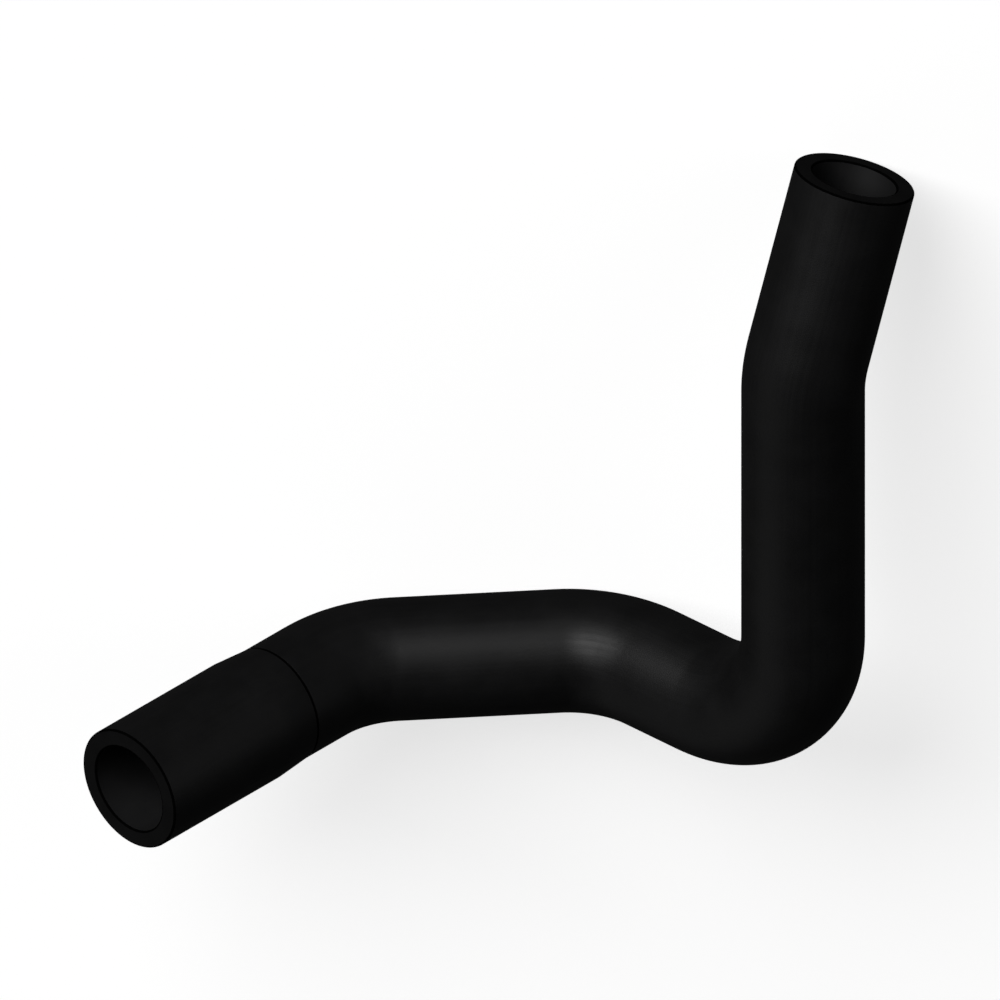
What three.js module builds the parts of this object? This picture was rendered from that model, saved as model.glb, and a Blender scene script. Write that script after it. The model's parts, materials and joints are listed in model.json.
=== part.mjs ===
// A radiator hose: one thick-walled rubber moulding, 460 mm long along its centreline, with
// four bends and a larger end.
//
// It is made as the real one is. The hose is first a straight tube, turned about +Y with its
// whole section, and is then formed onto its centreline, like a blank pushed onto a shaped
// mandrel. Last, it is laid on the floor as it comes to rest.
//
// Millimetres and degrees. +Z is up, and the origin is on the floor below the middle of the hose.

import * as THREE from 'three';
import { mergeVertices, toCreasedNormals } from 'three/addons/utils/BufferGeometryUtils.js';

// The section.
const bore = 28; // inside diameter of the plain hose
const wall = 6; // thickness of the rubber, the same all along
const cuffBore = 30; // inside diameter of the larger end
const cuffLength = 53.5; // the larger end, from its face to the start of its taper
const cuffTaper = 13; // length of the taper down to the plain hose
const edgeRound = 0.6; // radius of the four edges at the two ends

// The straight stretch of each leg between its bends, from the larger end on.
const inletStraight = 85.5;
const middleStraight = 52;
const lowerStraight = 21.5;
const riserStraight = 96.5;
const outletStraight = 61.5;

// The bends. Seen from above as the hose is fitted, each angle is how far the leg turns.
const bendRadius = 42; // to the centreline, the same in all four
const inletBend = 40; // from the inlet to the middle leg
const middleBend = 45; // from the middle leg to the lower leg
const lowerHeading = 5; // the lower leg, turned from +X towards +Y
const outletLean = 20; // how far the outlet leans from the upright riser

// How finely the round shapes are cut.
const sides = 40; // facets around the hose
const bendStep = 6; // degrees of bend between two sections
const edgeSteps = 1; // pairs of facets on each rounded edge
const creaseAngle = 15; // degrees above which an edge is drawn sharp

const hoseRadius = bore / 2 + wall;
const cuffRadius = cuffBore / 2 + wall;
const taperEnd = cuffLength + cuffTaper;

const radians = THREE.MathUtils.degToRad;

/** The direction of a leg, from its turn about +Z and its rise above the horizontal. */
function heading(turn, rise) {
  const level = Math.cos(radians(rise));
  return new THREE.Vector3(
    level * Math.cos(radians(turn)),
    level * Math.sin(radians(turn)),
    Math.sin(radians(rise)),
  );
}

// The legs as the hose is fitted, with the riser upright and the inlet along +Y.
const middleHeading = lowerHeading + middleBend;
const inletHeading = middleHeading + inletBend;
const legs = [
  { straight: inletStraight, along: heading(inletHeading, 0) },
  { straight: middleStraight, along: heading(middleHeading, 0) },
  { straight: lowerStraight, along: heading(lowerHeading, 0) },
  { straight: riserStraight, along: heading(0, 90) },
  { straight: outletStraight, along: heading(inletHeading, 90 - outletLean) },
];

/** The bend at the end of a leg: its axis, its whole angle and the length of its centreline. */
function bendAfter(index) {
  const from = legs[index].along;
  const to = legs[index + 1].along;
  const angle = from.angleTo(to);
  const axis = new THREE.Vector3().crossVectors(from, to).normalize();
  return { axis, angle, length: angle * bendRadius };
}

const bends = legs.slice(1).map((leg, index) => bendAfter(index));
const hoseLength = legs.reduce((sum, leg) => sum + leg.straight, 0)
  + bends.reduce((sum, bend) => sum + bend.length, 0);

/**
 * The place and turn of the hose's section at a distance along the centreline, without twist:
 * +Y of the frame runs along the hose.
 */
function frameAt(distance) {
  const position = new THREE.Vector3();
  const turn = new THREE.Quaternion().setFromUnitVectors(new THREE.Vector3(0, 1, 0), legs[0].along);
  let left = distance;
  for (let index = 0; index < legs.length; index += 1) {
    const leg = legs[index];
    const isLast = index === bends.length;
    const run = isLast ? left : Math.min(left, leg.straight);
    position.addScaledVector(leg.along, run);
    left -= run;
    if (isLast || left <= 0) break;

    const bend = bends[index];
    const part = Math.min(left / bend.length, 1);
    const partTurn = new THREE.Quaternion().setFromAxisAngle(bend.axis, part * bend.angle);
    const centre = new THREE.Vector3().crossVectors(bend.axis, leg.along)
      .multiplyScalar(bendRadius)
      .add(position);
    position.sub(centre).applyQuaternion(partTurn).add(centre);
    turn.premultiply(partTurn);
    left -= part * bend.length;
  }
  return new THREE.Matrix4().compose(position, turn, new THREE.Vector3(1, 1, 1));
}

/** Outside radius of the hose at a distance from the face of its larger end. */
function radiusAt(distance) {
  const tapered = THREE.MathUtils.clamp((distance - cuffLength) / cuffTaper, 0, 1);
  return THREE.MathUtils.lerp(cuffRadius, hoseRadius, tapered);
}

/** The distances at which the hose needs a section: the ends of its taper, and steps around each bend. */
function sectionDistances() {
  const distances = [cuffLength, taperEnd];
  let start = 0;
  bends.forEach((bend, index) => {
    start += legs[index].straight;
    const steps = Math.ceil(THREE.MathUtils.radToDeg(bend.angle) / bendStep - 1e-6);
    for (let step = 0; step <= steps; step += 1) {
      distances.push(start + (bend.length * step) / steps);
    }
    start += bend.length;
  });
  return distances.sort((a, b) => a - b);
}

/** The wall of the straight hose, as a closed outline of radius against distance. */
function wallOutline() {
  const distances = sectionDistances();
  const quarter = Math.PI / 2;
  const outline = new THREE.Path();
  outline.absarc(cuffRadius - edgeRound, edgeRound, edgeRound, -quarter, 0);
  for (const distance of distances) {
    outline.lineTo(radiusAt(distance), distance);
  }
  outline.absarc(hoseRadius - edgeRound, hoseLength - edgeRound, edgeRound, 0, quarter);
  outline.absarc(hoseRadius - wall + edgeRound, hoseLength - edgeRound, edgeRound, quarter, 2 * quarter);
  for (const distance of distances.reverse()) {
    outline.lineTo(radiusAt(distance) - wall, distance);
  }
  outline.absarc(cuffRadius - wall + edgeRound, edgeRound, edgeRound, 2 * quarter, 3 * quarter);
  outline.closePath();
  return outline.getPoints(edgeSteps);
}

/** Forms a straight hose, which stands on +Y, onto the centreline. */
function formOntoCentreline(straightHose) {
  const position = straightHose.getAttribute('position');
  const vertex = new THREE.Vector3();
  for (let index = 0; index < position.count; index += 1) {
    vertex.fromBufferAttribute(position, index);
    const frame = frameAt(vertex.y);
    vertex.setY(0).applyMatrix4(frame);
    position.setXYZ(index, vertex.x, vertex.y, vertex.z);
  }
  return straightHose;
}

/**
 * How much higher the rim of the outlet is than the underside of the middle leg, once the fitted
 * hose has been rolled about that leg.
 */
function rimClearance(roll) {
  const turn = new THREE.Quaternion().setFromAxisAngle(legs[1].along, roll);
  const onMiddleLeg = frameAt(inletStraight + bends[0].length);
  const atOutlet = frameAt(hoseLength - edgeRound);
  const middleAxis = new THREE.Vector3().setFromMatrixPosition(onMiddleLeg).applyQuaternion(turn);
  const rimCentre = new THREE.Vector3().setFromMatrixPosition(atOutlet).applyQuaternion(turn);
  const outletAxis = legs[4].along.clone().applyQuaternion(turn);
  const rimDrop = (hoseRadius - edgeRound) * Math.sqrt(1 - outletAxis.z ** 2) + edgeRound;
  return (rimCentre.z - rimDrop) - (middleAxis.z - hoseRadius);
}

/**
 * The roll about the middle leg that brings the fitted hose to rest. It lies on that leg, and
 * rolls on past a quarter turn until the rim of the outlet meets the floor too.
 */
function restingRoll() {
  let above = -Math.PI / 2;
  let below = -Math.PI;
  for (let halving = 0; halving < 40; halving += 1) {
    const roll = (above + below) / 2;
    if (rimClearance(roll) > 0) {
      above = roll;
    } else {
      below = roll;
    }
  }
  return above;
}

/** The hose as one closed body. One of its facets faces the floor along the middle leg. */
function hoseGeometry(roll) {
  const firstFacet = -Math.PI - roll + Math.PI / sides;
  const straightHose = new THREE.LatheGeometry(wallOutline(), sides, firstFacet);
  const formed = formOntoCentreline(straightHose);
  formed.deleteAttribute('normal');
  formed.deleteAttribute('uv');
  return toCreasedNormals(mergeVertices(formed), radians(creaseAngle));
}

const blackRubber = new THREE.MeshStandardMaterial({
  name: 'black_rubber',
  color: 0x161616,
  roughness: 0.55,
  metalness: 0,
});

const roll = restingRoll();
const hose = new THREE.Mesh(hoseGeometry(roll), blackRubber);
hose.name = 'radiator_hose';
hose.quaternion.setFromAxisAngle(legs[1].along, roll);

// The middle leg lies along the Y axis, with the larger end towards +Y.
const laid = new THREE.Group();
laid.rotation.z = radians(270 - middleHeading);
laid.add(hose);

const part = new THREE.Group();
part.add(laid);
part.updateMatrixWorld(true);
const extent = new THREE.Box3().setFromObject(part, true);
const middle = extent.getCenter(new THREE.Vector3());
laid.position.set(-middle.x, -middle.y, -extent.min.z);

export default part;
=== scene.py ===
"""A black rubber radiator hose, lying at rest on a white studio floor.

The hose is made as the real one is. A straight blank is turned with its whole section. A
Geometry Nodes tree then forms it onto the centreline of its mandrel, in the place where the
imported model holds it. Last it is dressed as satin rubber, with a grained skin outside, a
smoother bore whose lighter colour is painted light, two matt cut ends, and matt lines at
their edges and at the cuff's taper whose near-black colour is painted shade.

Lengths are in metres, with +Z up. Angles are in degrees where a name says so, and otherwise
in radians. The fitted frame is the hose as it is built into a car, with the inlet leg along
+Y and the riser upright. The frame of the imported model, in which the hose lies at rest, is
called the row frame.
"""

from __future__ import annotations

import json
import logging
import math
from dataclasses import dataclass, field
from enum import Enum

import bpy
from mathutils import Matrix, Vector

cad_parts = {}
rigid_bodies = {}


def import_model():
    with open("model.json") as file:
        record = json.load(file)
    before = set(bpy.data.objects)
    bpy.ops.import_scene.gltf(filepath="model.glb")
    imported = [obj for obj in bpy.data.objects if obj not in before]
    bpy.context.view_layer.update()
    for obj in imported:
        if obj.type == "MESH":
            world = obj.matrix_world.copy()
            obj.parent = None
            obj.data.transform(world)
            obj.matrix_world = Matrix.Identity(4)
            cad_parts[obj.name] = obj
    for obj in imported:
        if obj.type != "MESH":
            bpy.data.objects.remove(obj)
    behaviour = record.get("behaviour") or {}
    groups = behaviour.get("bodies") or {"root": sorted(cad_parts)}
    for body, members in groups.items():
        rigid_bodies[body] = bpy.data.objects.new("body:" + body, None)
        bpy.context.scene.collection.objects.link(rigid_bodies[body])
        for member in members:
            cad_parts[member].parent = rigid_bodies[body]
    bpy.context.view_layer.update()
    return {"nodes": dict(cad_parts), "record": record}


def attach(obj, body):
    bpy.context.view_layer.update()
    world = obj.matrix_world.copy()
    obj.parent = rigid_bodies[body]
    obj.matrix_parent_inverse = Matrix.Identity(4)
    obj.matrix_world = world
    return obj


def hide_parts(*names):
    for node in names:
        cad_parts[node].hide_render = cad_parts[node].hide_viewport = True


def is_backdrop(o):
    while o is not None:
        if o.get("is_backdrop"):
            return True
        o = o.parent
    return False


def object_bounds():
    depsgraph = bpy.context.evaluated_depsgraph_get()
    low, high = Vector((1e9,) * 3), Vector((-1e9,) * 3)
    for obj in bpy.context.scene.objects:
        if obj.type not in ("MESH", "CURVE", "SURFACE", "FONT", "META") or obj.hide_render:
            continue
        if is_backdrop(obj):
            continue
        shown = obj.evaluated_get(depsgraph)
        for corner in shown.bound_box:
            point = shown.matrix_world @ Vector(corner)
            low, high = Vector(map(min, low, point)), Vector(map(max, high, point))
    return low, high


MM = 0.001
CAD_NODE = "radiator_hose"
BODY = "root"
BLANK_PLACE = "blank_place"
ZONE_MARK = "zone"
ROUNDING = 1e-6

INLET_BEND_DEGREES = 40
MIDDLE_BEND_DEGREES = 45
LOWER_TURN_DEGREES = 5
MIDDLE_TURN_DEGREES = LOWER_TURN_DEGREES + MIDDLE_BEND_DEGREES
INLET_TURN_DEGREES = MIDDLE_TURN_DEGREES + INLET_BEND_DEGREES
UPRIGHT_DEGREES = 90
OUTLET_LEAN_DEGREES = 20
OUTLET_RISE_DEGREES = UPRIGHT_DEGREES - OUTLET_LEAN_DEGREES

Socket = bpy.types.NodeSocket
log = logging.getLogger("hose")


def grey(level: float) -> tuple[float, float, float, float]:
    """Returns an even grey as the colour of a node."""
    return (level, level, level, 1.0)


class Zone(Enum):
    """The kinds of surface on the hose. The value marks each face of the blank."""

    SKIN = 0
    CUT_END = 1
    BORE = 2
    # The rounded rims and the witness line. Their near-black colour is painted shade, and their matt
    # finish is real.
    DULL_PAINTED_SHADE_LINE = 3


class Grain(Enum):
    """Which way the fine marks in the rubber run."""

    ALONG_HOSE = "along"
    AROUND_AXIS = "around"


@dataclass(frozen=True)
class Leg:
    """One leg of the hose, as it is fitted. It turns about +Z from +X, and rises from level."""

    name: str
    straight: float
    turn_degrees: float
    rise_degrees: float

    def along(self) -> Vector:
        """Finds which way the leg runs.

        Returns:
            The unit direction from the inlet towards the outlet, in the fitted frame.
        """
        turn = math.radians(self.turn_degrees)
        rise = math.radians(self.rise_degrees)
        level = math.cos(rise)
        return Vector((level * math.cos(turn), level * math.sin(turn), math.sin(rise)))


@dataclass(frozen=True)
class Mandrel:
    """The bent bar that the blank is formed on, from the inlet's face to the outlet's."""

    legs: tuple[Leg, ...] = (
        Leg("inlet", straight=85.5 * MM, turn_degrees=INLET_TURN_DEGREES, rise_degrees=0),
        Leg("middle", straight=52 * MM, turn_degrees=MIDDLE_TURN_DEGREES, rise_degrees=0),
        Leg("lower", straight=21.5 * MM, turn_degrees=LOWER_TURN_DEGREES, rise_degrees=0),
        Leg("riser", straight=96.5 * MM, turn_degrees=0, rise_degrees=UPRIGHT_DEGREES),
        Leg(
            "outlet",
            straight=61.5 * MM,
            turn_degrees=INLET_TURN_DEGREES,
            rise_degrees=OUTLET_RISE_DEGREES,
        ),
    )
    bend_radius: float = 42 * MM
    ring_step: float = 6 * MM
    ring_step_degrees: float = 1.5

    def bend_angles(self) -> list[float]:
        """Returns how far each bend turns, in radians."""
        ahead = zip(self.legs, self.legs[1:])
        return [leg.along().angle(after.along()) for leg, after in ahead]

    def length(self) -> float:
        """Returns the length of the centreline."""
        straight = sum(leg.straight for leg in self.legs)
        return straight + self.bend_radius * sum(self.bend_angles())

    def corners(self) -> list[Vector]:
        """Finds where the legs would meet if they had no bends.

        Returns:
            The inlet's centre, each corner and the outlet's centre, in the fitted frame.
        """
        setbacks = [self.bend_radius * math.tan(angle / 2) for angle in self.bend_angles()]
        point = Vector((0, 0, 0))
        points = [point]
        for leg, before, after in zip(self.legs, [0, *setbacks], [*setbacks, 0]):
            point = point + leg.along() * (before + leg.straight + after)
            points.append(point)
        return points

    def ring_distances(self) -> list[float]:
        """Spreads rings evenly along each leg, and more closely in each bend.

        Returns:
            How far along the blank each ring is, from the inlet's face.
        """
        bend_step = math.radians(self.ring_step_degrees) * self.bend_radius
        distances = []
        start = 0.0
        for leg, angle in zip(self.legs, [*self.bend_angles(), 0]):
            bend = angle * self.bend_radius
            for stretch, step in ((leg.straight, self.ring_step), (bend, bend_step)):
                count = math.ceil(stretch / step - ROUNDING)
                distances += [start + stretch * ring / count for ring in range(count)]
                start += stretch
        return distances

    def summary(self) -> str:
        """Returns the length of the centreline and of its straight legs, in words."""
        legs = ", ".join(f"{leg.name} {leg.straight / MM:.1f}" for leg in self.legs)
        return f"{self.length() / MM:.1f} mm long, straight for {legs} mm"


@dataclass(frozen=True)
class Station:
    """One ring of the blank, and the kind of surface from it to the next ring."""

    distance: float
    radius: float
    zone: Zone


@dataclass(frozen=True)
class WallSection:
    """The wall of the blank: plain hose, with a larger cuff that tapers down to it.

    The witness line is the mark that the mould leaves round the foot of the taper. Each of its
    sloping sides takes the share witness_side of its half width, and a ring stands outside it
    by the share witness_support, to keep its shading off the skin. A ring stands edge_support
    beside each rounded edge for the same reason.
    """

    bore: float = 28 * MM
    wall: float = 6 * MM
    cuff_bore: float = 30 * MM
    cuff_length: float = 53.5 * MM
    cuff_taper: float = 13 * MM
    edge_round: float = 0.6 * MM
    edge_steps: int = 4
    edge_support: float = 0.2 * MM
    face_rings: int = 5
    witness_width: float = 0.9 * MM
    witness_depth: float = 0.3 * MM
    witness_side: float = 0.3
    witness_support: float = 0.15

    def taper_foot(self) -> float:
        """Returns the distance at which the taper of the cuff meets the plain hose."""
        return self.cuff_length + self.cuff_taper

    def bore_radius_at(self, distance: float) -> float:
        """Returns the inside radius at a distance from the inlet's face."""
        share = min(max((distance - self.cuff_length) / self.cuff_taper, 0.0), 1.0)
        return (self.cuff_bore + (self.bore - self.cuff_bore) * share) / 2

    def _off_witness(self, distance: float) -> float:
        """Returns how far a ring is past the middle of the witness line, in half widths."""
        return (distance - self.taper_foot()) / (self.witness_width / 2)

    def skin_station(self, distance: float) -> Station:
        """Places one ring of the skin, lower where it crosses the witness line.

        Args:
            distance: How far along the blank, from the inlet's face.

        Returns:
            The ring. The line is a shallow groove with a flat bottom and short sloping sides.
        """
        off_line = self._off_witness(distance)
        dip = min(max(1 - abs(off_line), 0.0) / self.witness_side, 1.0) * self.witness_depth
        # The ring at the line's near edge starts it, and the one at its far edge is skin again.
        starts_in_line = -1 - ROUNDING < off_line < 1 - ROUNDING
        # Inside the line, the groove takes the finish whose near-black colour is painted shade.
        zone = Zone.DULL_PAINTED_SHADE_LINE if starts_in_line else Zone.SKIN
        return Station(distance, self.bore_radius_at(distance) + self.wall - dip, zone)

    def _arc(self, distance: float, radius: float, start_degrees: float, after: Zone) -> list[Station]:
        """Rounds one edge of a cut end by a quarter of a circle.

        Args:
            distance: The circle's centre along the blank.
            radius: The circle's centre from the axis.
            start_degrees: Where the arc starts. Zero points away from the axis.
            after: The kind of surface that follows the arc.

        Returns:
            The rings of the arc, in order.
        """
        quarter = 90
        stations = []
        for step in range(self.edge_steps + 1):
            angle = math.radians(start_degrees + quarter * step / self.edge_steps)
            # All but the last ring of the arc take the finish whose near-black colour is painted shade
            # along the edge.
            stations.append(
                Station(
                    distance + self.edge_round * math.sin(angle),
                    radius + self.edge_round * math.cos(angle),
                    Zone.DULL_PAINTED_SHADE_LINE if step < self.edge_steps else after,
                )
            )
        return stations

    def _face(self, distance: float, start: float, end: float) -> list[Station]:
        """Fills a flat cut end between its two rounded edges.

        Args:
            distance: Where the face is along the blank.
            start: The radius at which the face starts.
            end: The radius at which it ends.

        Returns:
            The rings between the edges, with one close to each of them.
        """
        side = math.copysign(1.0, end - start)
        first = start + side * self.edge_support
        last = end - side * self.edge_support
        steps = range(self.face_rings)
        radii = [first + (last - first) * step / (self.face_rings - 1) for step in steps]
        return [Station(distance, radius, Zone.CUT_END) for radius in radii]

    def wall_distances(self, length: float, rings: list[float]) -> list[float]:
        """Places the rings of the long walls, between the rounded edges of the cut ends.

        Args:
            length: The length of the blank.
            rings: The distances that the bends ask for.

        Returns:
            The wall's own distances, and those of the bends that aren't too close to them.
        """
        foot = self.taper_foot()
        half = self.witness_width / 2
        bottom = 1 - self.witness_side
        beside = 1 + self.witness_support
        inset = self.edge_round + self.edge_support
        own = [inset, self.cuff_length, length - inset]
        own += [foot + half * share for share in (-beside, -1, -bottom, 0, bottom, 1, beside)]
        kept = [
            ring
            for ring in rings
            if inset < ring < length - inset and all(abs(ring - place) > half for place in own)
        ]
        return sorted(own + kept)

    def outline(self, length: float, rings: list[float]) -> list[Station]:
        """Walks once round the wall's section, so that the blank closes on itself.

        Args:
            length: The length of the blank.
            rings: The distances that the bends ask for.

        Returns:
            The stations from the inlet's face along the skin, and back through the bore.
        """
        round_off = self.edge_round
        distances = self.wall_distances(length, rings)
        cuff_outside = self.cuff_bore / 2 + self.wall
        hose_outside = self.bore / 2 + self.wall
        cuff_inside = self.cuff_bore / 2
        hose_inside = self.bore / 2
        walk = self._face(0.0, cuff_inside + round_off, cuff_outside - round_off)
        walk += self._arc(round_off, cuff_outside - round_off, -90, Zone.SKIN)
        walk += [self.skin_station(at) for at in distances]
        walk += self._arc(length - round_off, hose_outside - round_off, 0, Zone.CUT_END)
        walk += self._face(length, hose_outside - round_off, hose_inside + round_off)
        walk += self._arc(length - round_off, hose_inside + round_off, 90, Zone.BORE)
        walk += [Station(at, self.bore_radius_at(at), Zone.BORE) for at in reversed(distances)]
        walk += self._arc(round_off, cuff_inside + round_off, 180, Zone.CUT_END)
        return walk


class NodeBoard:
    """A node tree that is filled and wired by short calls."""

    def __init__(self, tree: bpy.types.NodeTree) -> None:
        """Takes the tree to fill."""
        self.tree = tree

    def add(self, kind: str, **settings: object) -> bpy.types.Node:
        """Adds one node.

        Args:
            kind: Blender's name for the type of node.
            **settings: The node's own properties, such as its mode.

        Returns:
            The new node.
        """
        node = self.tree.nodes.new(kind)
        for name, value in settings.items():
            setattr(node, name, value)
        return node

    def wire(self, source: Socket, target: Socket) -> None:
        """Links an output to an input."""
        self.tree.links.new(source, target)

    def feed(self, target: Socket, value: object) -> None:
        """Gives an input its value.

        Args:
            target: The input.
            value: A plain value, or the output of another node, which is linked.
        """
        if isinstance(value, Socket):
            self.wire(value, target)
        else:
            target.default_value = value

    def maths(self, operation: str, *values: object) -> Socket:
        """Works out one number.

        Args:
            operation: The Math node's operation.
            *values: Numbers or outputs, one for each input.

        Returns:
            The result's socket.
        """
        node = self.add("ShaderNodeMath", operation=operation)
        for target, value in zip(node.inputs, values):
            self.feed(target, value)
        return node.outputs["Value"]

    def vector_maths(self, operation: str, *values: object) -> Socket:
        """Works out one vector.

        Args:
            operation: The Vector Math node's operation.
            *values: Vectors or outputs, one for each input. A SCALE takes its number last.

        Returns:
            The result's socket.
        """
        node = self.add("ShaderNodeVectorMath", operation=operation)
        targets = list(node.inputs)[:2]
        if operation == "SCALE":
            targets = [node.inputs["Vector"], node.inputs["Scale"]]
        for target, value in zip(targets, values):
            self.feed(target, value)
        return node.outputs["Vector"]


@dataclass(frozen=True)
class RubberFinish:
    """One finish of the black rubber, with the marks that its making leaves in it.

    A mark is narrow one way and long the other: its width over its length is along_aspect for
    the die's marks, and around_aspect for the knife's. Each pattern has finer layers on top of
    its first, and layer_share is how strong each is beside the one before it.
    """

    name: str
    colour: tuple[float, float, float]
    roughness: float
    marks_run: Grain
    mottle: float
    roughness_spread: float
    grain_height: float
    mark_height: float
    mark_width: float
    unevenness: float = 0.0
    specular: float = 0.24
    grain_size: float = 0.45 * MM
    mottle_size: float = 14 * MM
    along_aspect: float = 0.012
    around_aspect: float = 0.12
    mottle_layers: float = 4.0
    grain_layers: float = 2.0
    die_layers: float = 1.0
    knife_layers: float = 2.0
    layer_share: float = 0.55
    pattern_range: tuple[float, float] = (0.3, 0.7)
    wear_from_marks: float = 0.4

    def _noise(self, board: NodeBoard, place: Socket, size: float, layers: float) -> Socket:
        """Adds a noise pattern in the rubber.

        Args:
            board: The material's nodes.
            place: The coordinates that the pattern follows.
            size: How large its blotches are.
            layers: How many finer layers it has.

        Returns:
            The pattern's socket, from 0 to 1.
        """
        noise = board.add("ShaderNodeTexNoise", noise_dimensions="3D")
        board.wire(place, noise.inputs["Vector"])
        noise.inputs["Scale"].default_value = 1 / size
        noise.inputs["Detail"].default_value = layers
        noise.inputs["Roughness"].default_value = self.layer_share
        return noise.outputs["Fac"]

    def _marks(self, board: NodeBoard, place: Socket) -> Socket:
        """Adds the fine marks of the die along the hose, or of the knife around a cut end.

        Args:
            board: The material's nodes.
            place: The coordinates on the straight blank.

        Returns:
            The pattern's socket, from 0 to 1.
        """
        if self.marks_run is Grain.ALONG_HOSE:
            along = board.vector_maths("MULTIPLY", place, (1.0, 1.0, self.along_aspect))
            return self._noise(board, along, self.mark_width, self.die_layers)
        split = board.add("ShaderNodeSeparateXYZ")
        board.wire(place, split.inputs["Vector"])
        across = (split.outputs["X"], split.outputs["Y"])
        squares = [board.maths("MULTIPLY", part, part) for part in across]
        from_axis = board.maths("SQRT", board.maths("ADD", *squares))
        rings = board.add("ShaderNodeCombineXYZ")
        board.wire(from_axis, rings.inputs["X"])
        aspect = (self.around_aspect, self.around_aspect, 0.0)
        around = board.vector_maths("MULTIPLY", place, aspect)
        arcs = board.vector_maths("ADD", rings.outputs["Vector"], around)
        return self._noise(board, arcs, self.mark_width, self.knife_layers)

    def _bump(self, board: NodeBoard, height: Socket, depth: float, under: Socket | None) -> Socket:
        """Raises the surface by a pattern.

        Args:
            board: The material's nodes.
            height: The pattern, from 0 to 1.
            depth: How high the pattern's full range is.
            under: The normal of the bumps below it, or None.

        Returns:
            The new normal's socket.
        """
        bump = board.add("ShaderNodeBump")
        bump.inputs["Distance"].default_value = depth
        bump.inputs["Strength"].default_value = 1.0
        board.wire(height, bump.inputs["Height"])
        if under is not None:
            board.wire(under, bump.inputs["Normal"])
        return bump.outputs["Normal"]

    def _ramp(self, board: NodeBoard, pattern: Socket, low: float, high: float) -> Socket:
        """Maps the range that a pattern mostly keeps to, to a range of numbers.

        Args:
            board: The material's nodes.
            pattern: The pattern, from 0 to 1.
            low: The number at the low end of that range.
            high: The number at its high end.

        Returns:
            The number's socket.
        """
        spread = board.add("ShaderNodeMapRange")
        board.wire(pattern, spread.inputs["Value"])
        spread.inputs["From Min"].default_value = self.pattern_range[0]
        spread.inputs["From Max"].default_value = self.pattern_range[1]
        spread.inputs["To Min"].default_value = low
        spread.inputs["To Max"].default_value = high
        return spread.outputs["Result"]

    def build(self) -> bpy.types.Material:
        """Makes the material.

        Returns:
            The material, whose patterns follow the place of each point on the straight blank.
        """
        material = bpy.data.materials.new(self.name)
        material.use_nodes = True
        board = NodeBoard(material.node_tree)
        shader = material.node_tree.nodes["Principled BSDF"]
        shader.inputs["Specular IOR Level"].default_value = self.specular
        place = board.add("ShaderNodeAttribute", attribute_name=BLANK_PLACE).outputs["Vector"]

        blotches = self._noise(board, place, self.mottle_size, self.mottle_layers)
        grain = self._noise(board, place, self.grain_size, self.grain_layers)
        marks = self._marks(board, place)

        tone = board.add("ShaderNodeMix", data_type="RGBA")
        darker = tuple(part * (1 - self.mottle) for part in self.colour)
        lighter = tuple(part * (1 + self.mottle) for part in self.colour)
        tone.inputs["A"].default_value = (*darker, 1)
        tone.inputs["B"].default_value = (*lighter, 1)
        board.wire(self._ramp(board, blotches, 0.0, 1.0), tone.inputs["Factor"])
        board.wire(tone.outputs["Result"], shader.inputs["Base Color"])

        in_blotches = board.maths("MULTIPLY", blotches, 1 - self.wear_from_marks)
        in_marks = board.maths("MULTIPLY", marks, self.wear_from_marks)
        worn = board.maths("ADD", in_blotches, in_marks)
        low = self.roughness - self.roughness_spread
        high = self.roughness + self.roughness_spread
        board.wire(self._ramp(board, worn, low, high), shader.inputs["Roughness"])

        normal = None
        if self.unevenness:
            normal = self._bump(board, blotches, self.unevenness, normal)
        normal = self._bump(board, marks, self.mark_height, normal)
        normal = self._bump(board, grain, self.grain_height, normal)
        board.wire(normal, shader.inputs["Normal"])
        return material


FINISHES = {
    Zone.SKIN: RubberFinish(
        name="moulded_skin",
        colour=(0.0047, 0.0047, 0.0049),
        roughness=0.48,
        marks_run=Grain.ALONG_HOSE,
        mottle=0.16,
        roughness_spread=0.07,
        grain_height=0.035 * MM,
        mark_height=0.015 * MM,
        mark_width=1.1 * MM,
        unevenness=0.05 * MM,
    ),
    Zone.CUT_END: RubberFinish(
        name="knife_cut_end",
        colour=(0.0052, 0.0052, 0.0053),
        roughness=0.9,
        specular=0.04,
        marks_run=Grain.AROUND_AXIS,
        mottle=0.22,
        roughness_spread=0.05,
        grain_height=0.05 * MM,
        mark_height=0.05 * MM,
        mark_width=0.55 * MM,
    ),
    # The bore's colour, lighter than the skin's, is painted light inside the bore. Its smoothness is
    # real.
    Zone.BORE: RubberFinish(
        name="mandrel_smooth_bore_painted_lighter",
        colour=(0.0070, 0.0070, 0.0073),
        roughness=0.6,
        marks_run=Grain.ALONG_HOSE,
        mottle=0.12,
        roughness_spread=0.05,
        grain_height=0.01 * MM,
        mark_height=0.02 * MM,
        mark_width=1.6 * MM,
    ),
    # The near-black colour is painted shade along the rounded rims and in the witness line's groove. The
    # high roughness is a matt finish, and zero specular keeps highlights off these lines.
    Zone.DULL_PAINTED_SHADE_LINE: RubberFinish(
        name="dull_painted_shade_line",
        colour=(0.0010, 0.0010, 0.0010),
        roughness=0.95,
        specular=0.0,
        marks_run=Grain.AROUND_AXIS,
        mottle=0.2,
        roughness_spread=0.04,
        grain_height=0.02 * MM,
        mark_height=0.02 * MM,
        mark_width=0.55 * MM,
    ),
}


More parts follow.
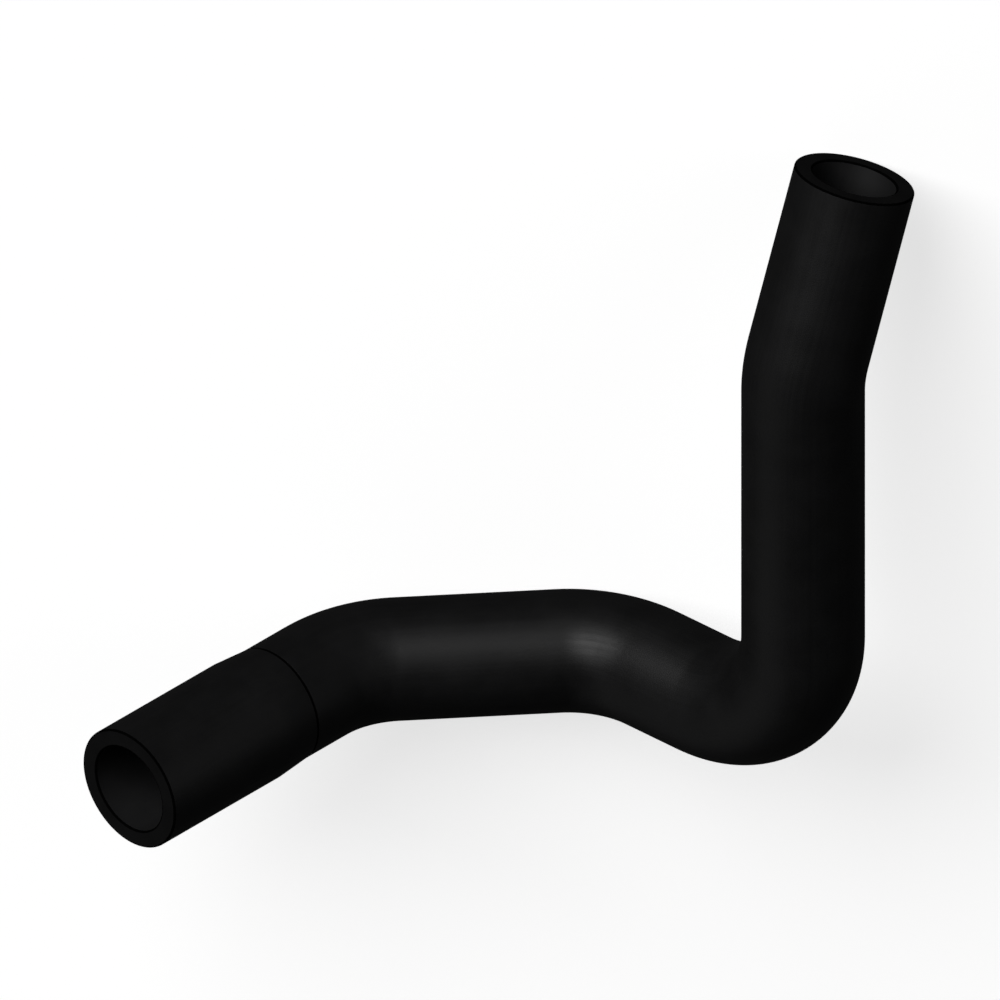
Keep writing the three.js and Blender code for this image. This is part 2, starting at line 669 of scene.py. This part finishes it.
class FormingTree:
    """The Geometry Nodes tree that forms a straight blank onto a centreline."""

    def __init__(self) -> None:
        """Makes the tree, its named inputs and its nodes."""
        self.tree = bpy.data.node_groups.new("form_on_mandrel", "GeometryNodeTree")
        self.board = NodeBoard(self.tree)
        self.identifiers: dict[str, str] = {}
        self._name_inputs()
        self._wire_tree()

    def _name_inputs(self) -> None:
        """Gives the tree its inputs and its output."""
        sockets = [
            ("Blank", "NodeSocketGeometry"),
            ("Centreline", "NodeSocketObject"),
            ("Blank Length", "NodeSocketFloat"),
            ("Bend Radius", "NodeSocketFloat"),
            ("Bend Points", "NodeSocketInt"),
            *((zone.name.title(), "NodeSocketMaterial") for zone in Zone),
        ]
        for name, kind in sockets:
            socket = self.tree.interface.new_socket(name=name, in_out="INPUT", socket_type=kind)
            self.identifiers[name] = socket.identifier
        self.tree.interface.new_socket(name="Hose", in_out="OUTPUT", socket_type="NodeSocketGeometry")

    def _centreline(self, given: bpy.types.Node) -> Socket:
        """Rounds the corners of the centreline to the bend radius.

        Args:
            given: The Group Input node.

        Returns:
            The rounded curve's socket.
        """
        board = self.board
        found = board.add("GeometryNodeObjectInfo", transform_space="ORIGINAL")
        board.wire(given.outputs["Centreline"], found.inputs["Object"])
        rounded = board.add("GeometryNodeFilletCurve", mode="POLY")
        board.wire(found.outputs["Geometry"], rounded.inputs["Curve"])
        board.wire(given.outputs["Bend Points"], rounded.inputs["Count"])
        board.wire(given.outputs["Bend Radius"], rounded.inputs["Radius"])
        return rounded.outputs["Curve"]

    def _formed_place(self, given: bpy.types.Node) -> Socket:
        """Finds where each point of the blank lies once it is formed.

        Args:
            given: The Group Input node.

        Returns:
            The point's new place. Its X and Y on the blank are kept across the centreline.
        """
        board = self.board
        blank = board.add("ShaderNodeSeparateXYZ")
        board.wire(board.add("GeometryNodeInputPosition").outputs["Position"], blank.inputs["Vector"])
        sample = board.add("GeometryNodeSampleCurve", mode="FACTOR")
        board.wire(self._centreline(given), sample.inputs["Curves"])
        factor = board.maths("DIVIDE", blank.outputs["Z"], given.outputs["Blank Length"])
        board.wire(factor, sample.inputs["Factor"])
        across = sample.outputs["Normal"]
        beside = board.vector_maths("CROSS_PRODUCT", sample.outputs["Tangent"], across)
        shift = board.vector_maths(
            "ADD",
            board.vector_maths("SCALE", across, blank.outputs["X"]),
            board.vector_maths("SCALE", beside, blank.outputs["Y"]),
        )
        return board.vector_maths("ADD", sample.outputs["Position"], shift)

    def _wire_tree(self) -> None:
        """Forms the blank, then gives each kind of surface its finish."""
        board = self.board
        given = board.add("NodeGroupInput")
        kept = board.add("GeometryNodeStoreNamedAttribute", data_type="FLOAT_VECTOR", domain="POINT")
        kept.inputs["Name"].default_value = BLANK_PLACE
        board.wire(given.outputs["Blank"], kept.inputs["Geometry"])
        board.wire(board.add("GeometryNodeInputPosition").outputs["Position"], kept.inputs["Value"])
        formed = board.add("GeometryNodeSetPosition")
        board.wire(kept.outputs["Geometry"], formed.inputs["Geometry"])
        board.wire(self._formed_place(given), formed.inputs["Position"])
        real = board.add("GeometryNodeRealizeInstances")
        board.wire(formed.outputs["Geometry"], real.inputs["Geometry"])
        dressed = real.outputs["Geometry"]
        mark = board.add("GeometryNodeInputNamedAttribute", data_type="INT")
        mark.inputs["Name"].default_value = ZONE_MARK
        for zone in Zone:
            same = board.add("FunctionNodeCompare", data_type="INT", operation="EQUAL")
            board.wire(mark.outputs["Attribute"], same.inputs["A"])
            same.inputs["B"].default_value = zone.value
            finish = board.add("GeometryNodeSetMaterial")
            board.wire(dressed, finish.inputs["Geometry"])
            board.wire(same.outputs["Result"], finish.inputs["Selection"])
            board.wire(given.outputs[zone.name.title()], finish.inputs["Material"])
            dressed = finish.outputs["Geometry"]
        board.wire(dressed, board.add("NodeGroupOutput").inputs["Hose"])

    def put_on(self, piece: bpy.types.Object, inputs: dict[str, object]) -> bpy.types.Modifier:
        """Adds the tree to a piece as a modifier.

        Args:
            piece: The object that holds the blank.
            inputs: The value of each input, by the input's name.

        Returns:
            The modifier.
        """
        modifier = piece.modifiers.new("Forming", "NODES")
        modifier.node_group = self.tree
        for name, value in inputs.items():
            modifier[self.identifiers[name]] = value
        return modifier


@dataclass
class FittedFrame:
    """Where the fitted hose lies in the row frame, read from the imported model.

    The corners of the CAD model's inlet face are those closer to its plane than flat. Corners
    that agree to this many decimals are one.
    """

    record: dict
    node: bpy.types.Object
    flat: float = 0.01 * MM
    decimals: int = 6

    def _mount(self, name: str) -> dict:
        """Returns the mount of that name."""
        return next(mount for mount in self.record["mounts"] if mount["name"] == name)

    def _inlet_centre(self) -> Vector:
        """Finds the middle of the CAD model's inlet face.

        Returns:
            The mean of the corners on that face, in the row frame.
        """
        mount = self._mount("inlet_face")
        out = Vector(mount["axis"]).normalized()
        level = Vector(mount["pos_m"]).dot(out)
        on_face = {
            tuple(round(part, self.decimals) for part in vertex.co)
            for vertex in self.node.data.vertices
            if abs(vertex.co.dot(out) - level) < self.flat
        }
        return sum((Vector(place) for place in on_face), Vector()) / len(on_face)

    def to_row(self) -> Matrix:
        """Works out the fitted frame from the two end faces.

        Returns:
            The matrix from the fitted frame to the row frame.
        """
        along_inlet = -Vector(self._mount("inlet_face")["axis"]).normalized()
        outlet = Vector(self._mount("outlet_face")["axis"]).normalized()
        lean = math.radians(OUTLET_LEAN_DEGREES)
        upright = ((outlet - along_inlet * math.sin(lean)) / math.cos(lean)).normalized()
        sideways = along_inlet.cross(upright)
        turn = Matrix((sideways, along_inlet, upright)).transposed().to_4x4()
        return Matrix.Translation(self._inlet_centre()) @ turn


@dataclass
class RadiatorHose:
    """The hose: its section, its mandrel and how finely it is cut."""

    section: WallSection = field(default_factory=WallSection)
    mandrel: Mandrel = field(default_factory=Mandrel)
    sides: int = 160
    bend_points: int = 180
    name: str = "moulded_radiator_hose"

    def _blank_mesh(self) -> bpy.types.Mesh:
        """Turns the straight blank about +Z.

        Returns:
            A closed mesh, with its faces marked by zone and a UV map around and along it.
        """
        walk = self.section.outline(self.mandrel.length(), self.mandrel.ring_distances())
        angles = [math.tau * side / self.sides for side in range(self.sides)]
        points = [
            (station.radius * math.cos(angle), station.radius * math.sin(angle), station.distance)
            for station in walk
            for angle in angles
        ]
        rings = len(walk)
        faces = []
        for ring in range(rings):
            here = ring * self.sides
            there = (ring + 1) % rings * self.sides
            for side in range(self.sides):
                beside = (side + 1) % self.sides
                faces.append((here + side, here + beside, there + beside, there + side))
        mesh = bpy.data.meshes.new("hose_blank")
        mesh.from_pydata(points, [], faces)
        self._mark_zones(mesh, walk)
        self._unwrap(mesh, walk)
        mesh.shade_smooth()
        return mesh

    def _mark_zones(self, mesh: bpy.types.Mesh, walk: list[Station]) -> None:
        """Marks each face with the kind of surface that it belongs to.

        Args:
            mesh: The blank.
            walk: The stations that its rings were made from.
        """
        marks = mesh.attributes.new(ZONE_MARK, "INT", "FACE")
        values = [station.zone.value for station in walk for _ in range(self.sides)]
        marks.data.foreach_set("value", values)

    def _unwrap(self, mesh: bpy.types.Mesh, walk: list[Station]) -> None:
        """Lays the wall out flat: U runs around the hose, and V along the section's outline.

        Args:
            mesh: The blank.
            walk: The stations that its rings were made from.
        """
        runs = [0.0]
        for station, after in zip(walk, [*walk[1:], walk[0]]):
            step = math.hypot(after.distance - station.distance, after.radius - station.radius)
            runs.append(runs[-1] + step)
        layer = mesh.uv_layers.new(name="wall")
        places = []
        for ring in range(len(walk)):
            low = runs[ring] / runs[-1]
            high = runs[ring + 1] / runs[-1]
            for side in range(self.sides):
                left = side / self.sides
                right = (side + 1) / self.sides
                places += [left, low, right, low, right, high, left, high]
        layer.data.foreach_set("uv", places)

    def _centreline(self, to_row: Matrix) -> bpy.types.Object:
        """Draws the mandrel's corners as one open curve in the row frame.

        Args:
            to_row: The matrix from the fitted frame to the row frame.

        Returns:
            The curve object.
        """
        curve = bpy.data.curves.new("mandrel_centreline", "CURVE")
        curve.dimensions = "3D"
        spline = curve.splines.new("POLY")
        corners = self.mandrel.corners()
        spline.points.add(len(corners) - 1)
        for point, corner in zip(spline.points, corners):
            point.co = (*(to_row @ corner), 1)
        line = bpy.data.objects.new("mandrel_centreline", curve)
        bpy.context.scene.collection.objects.link(line)
        return line

    def build(self, to_row: Matrix) -> bpy.types.Object:
        """Makes the formed and dressed hose.

        Args:
            to_row: The matrix from the fitted frame to the row frame.

        Returns:
            The finished piece, a plain mesh.
        """
        piece = bpy.data.objects.new(self.name, self._blank_mesh())
        bpy.context.scene.collection.objects.link(piece)
        line = self._centreline(to_row)
        inputs = {
            "Centreline": line,
            "Blank Length": self.mandrel.length(),
            "Bend Radius": self.mandrel.bend_radius,
            "Bend Points": self.bend_points,
        }
        inputs |= {zone.name.title(): finish.build() for zone, finish in FINISHES.items()}
        modifier = FormingTree().put_on(piece, inputs)
        bpy.context.view_layer.update()
        depsgraph = bpy.context.evaluated_depsgraph_get()
        formed = bpy.data.meshes.new_from_object(
            piece.evaluated_get(depsgraph), preserve_all_data_layers=True, depsgraph=depsgraph
        )
        piece.modifiers.remove(modifier)
        piece.data = formed
        bpy.data.objects.remove(line)
        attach(piece, BODY)
        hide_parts(CAD_NODE)
        return piece


@dataclass(frozen=True)
class PhotoView:
    """The isometric view of the photograph, in the fitted frame.

    The middle of the picture is centre_right to the right of the inlet's middle and centre_up
    above it, as the viewer sees them. The camera stands nearer to the viewer than the inlet by
    the distance, and takes in the width.
    """

    towards_viewer: tuple[float, float, float] = (1, -1, 1)
    up: tuple[float, float, float] = (-1, 1, 2)
    centre_right: float = 119.79 * MM
    centre_up: float = 93.24 * MM
    width: float = 322.7 * MM
    distance: float = 1.2

    def axes(self) -> Matrix:
        """Works out the picture's own axes.

        Returns:
            Its right, its up and the direction towards the viewer, as the columns of a matrix.
        """
        back = Vector(self.towards_viewer).normalized()
        up = Vector(self.up).normalized()
        return Matrix((up.cross(back), up, back)).transposed()

    def make_camera(self, to_row: Matrix) -> None:
        """Sets up the camera that the scene then uses.

        Args:
            to_row: The matrix from the fitted frame to the row frame.
        """
        data = bpy.data.cameras.new("photo_camera")
        data.type = "ORTHO"
        data.ortho_scale = self.width
        axes = self.axes()
        place = axes @ Vector((self.centre_right, self.centre_up, self.distance))
        camera = bpy.data.objects.new("photo_camera", data)
        camera.matrix_world = to_row @ Matrix.Translation(place) @ axes.to_4x4()
        bpy.context.scene.collection.objects.link(camera)
        bpy.context.scene.camera = camera


@dataclass(frozen=True)
class Lamp:
    """A soft, far lamp. An azimuth of zero is at -Y, and 90 is at +X."""

    name: str
    azimuth_degrees: float
    elevation_degrees: float
    level: float
    softness_degrees: float

    def direction(self) -> Vector:
        """Finds where the lamp hangs.

        Returns:
            The unit direction towards the lamp, in the row frame.
        """
        azimuth = math.radians(self.azimuth_degrees)
        elevation = math.radians(self.elevation_degrees)
        level = math.cos(elevation)
        return Vector((level * math.sin(azimuth), -level * math.cos(azimuth), math.sin(elevation)))

    def make(self) -> None:
        """Hangs the lamp. At a level of 1, a white card that faces it renders as white."""
        data = bpy.data.lights.new(self.name, "SUN")
        data.energy = self.level * math.pi
        data.angle = math.radians(self.softness_degrees)
        lamp = bpy.data.objects.new(self.name, data)
        lamp.matrix_world = self.direction().to_track_quat("Z", "Y").to_matrix().to_4x4()
        bpy.context.scene.collection.objects.link(lamp)


@dataclass(frozen=True)
class Studio:
    """A white floor in white surroundings, with a soft main lamp and two weak ones.

    The main lamp is near the viewer, and the weak ones show the hose's form from behind and
    from its far side. The floor and the surroundings show as white. The hose itself is lit as
    between black flags, which keep the edges of a black thing dark on a white backdrop: to its
    light the floor has the flagged colour, and its gloss shows a small share of the backdrop.
    """

    lamps: tuple[Lamp, ...] = (
        Lamp("main_lamp", azimuth_degrees=118, elevation_degrees=20, level=0.9, softness_degrees=40),
        Lamp("back_lamp", azimuth_degrees=212, elevation_degrees=15, level=0.05, softness_degrees=60),
        Lamp("side_lamp", azimuth_degrees=30, elevation_degrees=12, level=0.08, softness_degrees=60),
    )
    ambient: float = 0.005
    floor_colour: float = 0.8
    flagged_colour: float = 0.05
    mirrored_backdrop: float = 0.01
    floor_size: float = 60.0

    def _backdrop_rays(self, board: NodeBoard) -> Socket:
        """Finds the rays that show the backdrop.

        Args:
            board: The nodes of the floor or the surroundings.

        Returns:
            1 for what the camera sees, also through glass, and the dim share that the satin
            rubber mirrors for glossy rays.
        """
        path = board.add("ShaderNodeLightPath")
        seen = board.maths("MAXIMUM", path.outputs["Is Camera Ray"], path.outputs["Is Transmission Ray"])
        mirrored = board.maths("MULTIPLY", path.outputs["Is Glossy Ray"], self.mirrored_backdrop)
        return board.maths("MAXIMUM", seen, mirrored)

    def _make_world(self) -> None:
        """Surrounds the hose with a low, even light that shows as white."""
        world = bpy.data.worlds.new("white_surroundings")
        world.use_nodes = True
        board = NodeBoard(world.node_tree)
        background = world.node_tree.nodes["Background"]
        background.inputs["Color"].default_value = grey(1.0)
        strength = board.add("ShaderNodeMapRange")
        board.wire(self._backdrop_rays(board), strength.inputs["Value"])
        strength.inputs["To Min"].default_value = self.ambient
        strength.inputs["To Max"].default_value = 1.0
        board.wire(strength.outputs["Result"], background.inputs["Strength"])
        bpy.context.scene.world = world

    def _floor_material(self, lit: float) -> bpy.types.Material:
        """Makes the floor's finish, which is white where no shadow falls on it.

        Args:
            lit: How bright a white card on the floor is, from the lamps and the surroundings.

        Returns:
            The material.
        """
        material = bpy.data.materials.new("white_floor")
        material.use_nodes = True
        board = NodeBoard(material.node_tree)
        material.node_tree.nodes.remove(material.node_tree.nodes["Principled BSDF"])
        backdrop = self._backdrop_rays(board)
        colour = board.add("ShaderNodeMix", data_type="RGBA")
        colour.inputs["A"].default_value = grey(self.flagged_colour)
        colour.inputs["B"].default_value = grey(self.floor_colour)
        board.wire(backdrop, colour.inputs["Factor"])
        card = board.add("ShaderNodeBsdfDiffuse")
        board.wire(colour.outputs["Result"], card.inputs["Color"])
        glow = board.add("ShaderNodeEmission")
        shown = board.maths("MULTIPLY", backdrop, 1.0 - self.floor_colour * lit)
        board.wire(shown, glow.inputs["Strength"])
        both = board.add("ShaderNodeAddShader")
        board.wire(card.outputs["BSDF"], both.inputs[0])
        board.wire(glow.outputs["Emission"], both.inputs[1])
        output = material.node_tree.nodes["Material Output"]
        board.wire(both.outputs["Shader"], output.inputs["Surface"])
        return material

    def _make_floor(self, level: float, lit: float) -> None:
        """Lays the floor.

        Args:
            level: The height of the floor.
            lit: How bright a white card on the floor is.
        """
        half = self.floor_size / 2
        mesh = bpy.data.meshes.new("floor")
        corners = [(-half, -half, level), (half, -half, level), (half, half, level), (-half, half, level)]
        mesh.from_pydata(corners, [], [(0, 1, 2, 3)])
        mesh.materials.append(self._floor_material(lit))
        floor = bpy.data.objects.new("floor", mesh)
        bpy.context.scene.collection.objects.link(floor)
        floor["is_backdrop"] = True

    def build(self, floor_level: float) -> None:
        """Makes the lamps, the surroundings and the floor.

        Args:
            floor_level: The height of the floor.
        """
        lit = self.ambient
        for lamp in self.lamps:
            lamp.make()
            lit += lamp.level * max(lamp.direction().z, 0.0)
        self._make_world()
        self._make_floor(floor_level, lit)
        bpy.context.scene.view_settings.view_transform = "Standard"
        log.info("studio: %d lamps, the floor is lit to %.2f", len(self.lamps), lit)


def clear_scene() -> None:
    """Removes what a new Blender file starts with."""
    for thing in list(bpy.data.objects):
        bpy.data.objects.remove(thing)


def main() -> None:
    """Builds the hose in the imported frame, then the camera and the studio around it."""
    logging.basicConfig(level=logging.INFO, format="%(name)s: %(message)s")
    clear_scene()
    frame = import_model()
    to_row = FittedFrame(frame["record"], frame["nodes"][CAD_NODE]).to_row()
    PhotoView().make_camera(to_row)
    hose = RadiatorHose()
    piece = hose.build(to_row)
    log.info("%s: %d faces, %s", piece.name, len(piece.data.polygons), hose.mandrel.summary())
    visual_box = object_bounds()
    Studio().build(visual_box[0].z)


if __name__ == "__main__":
    main()
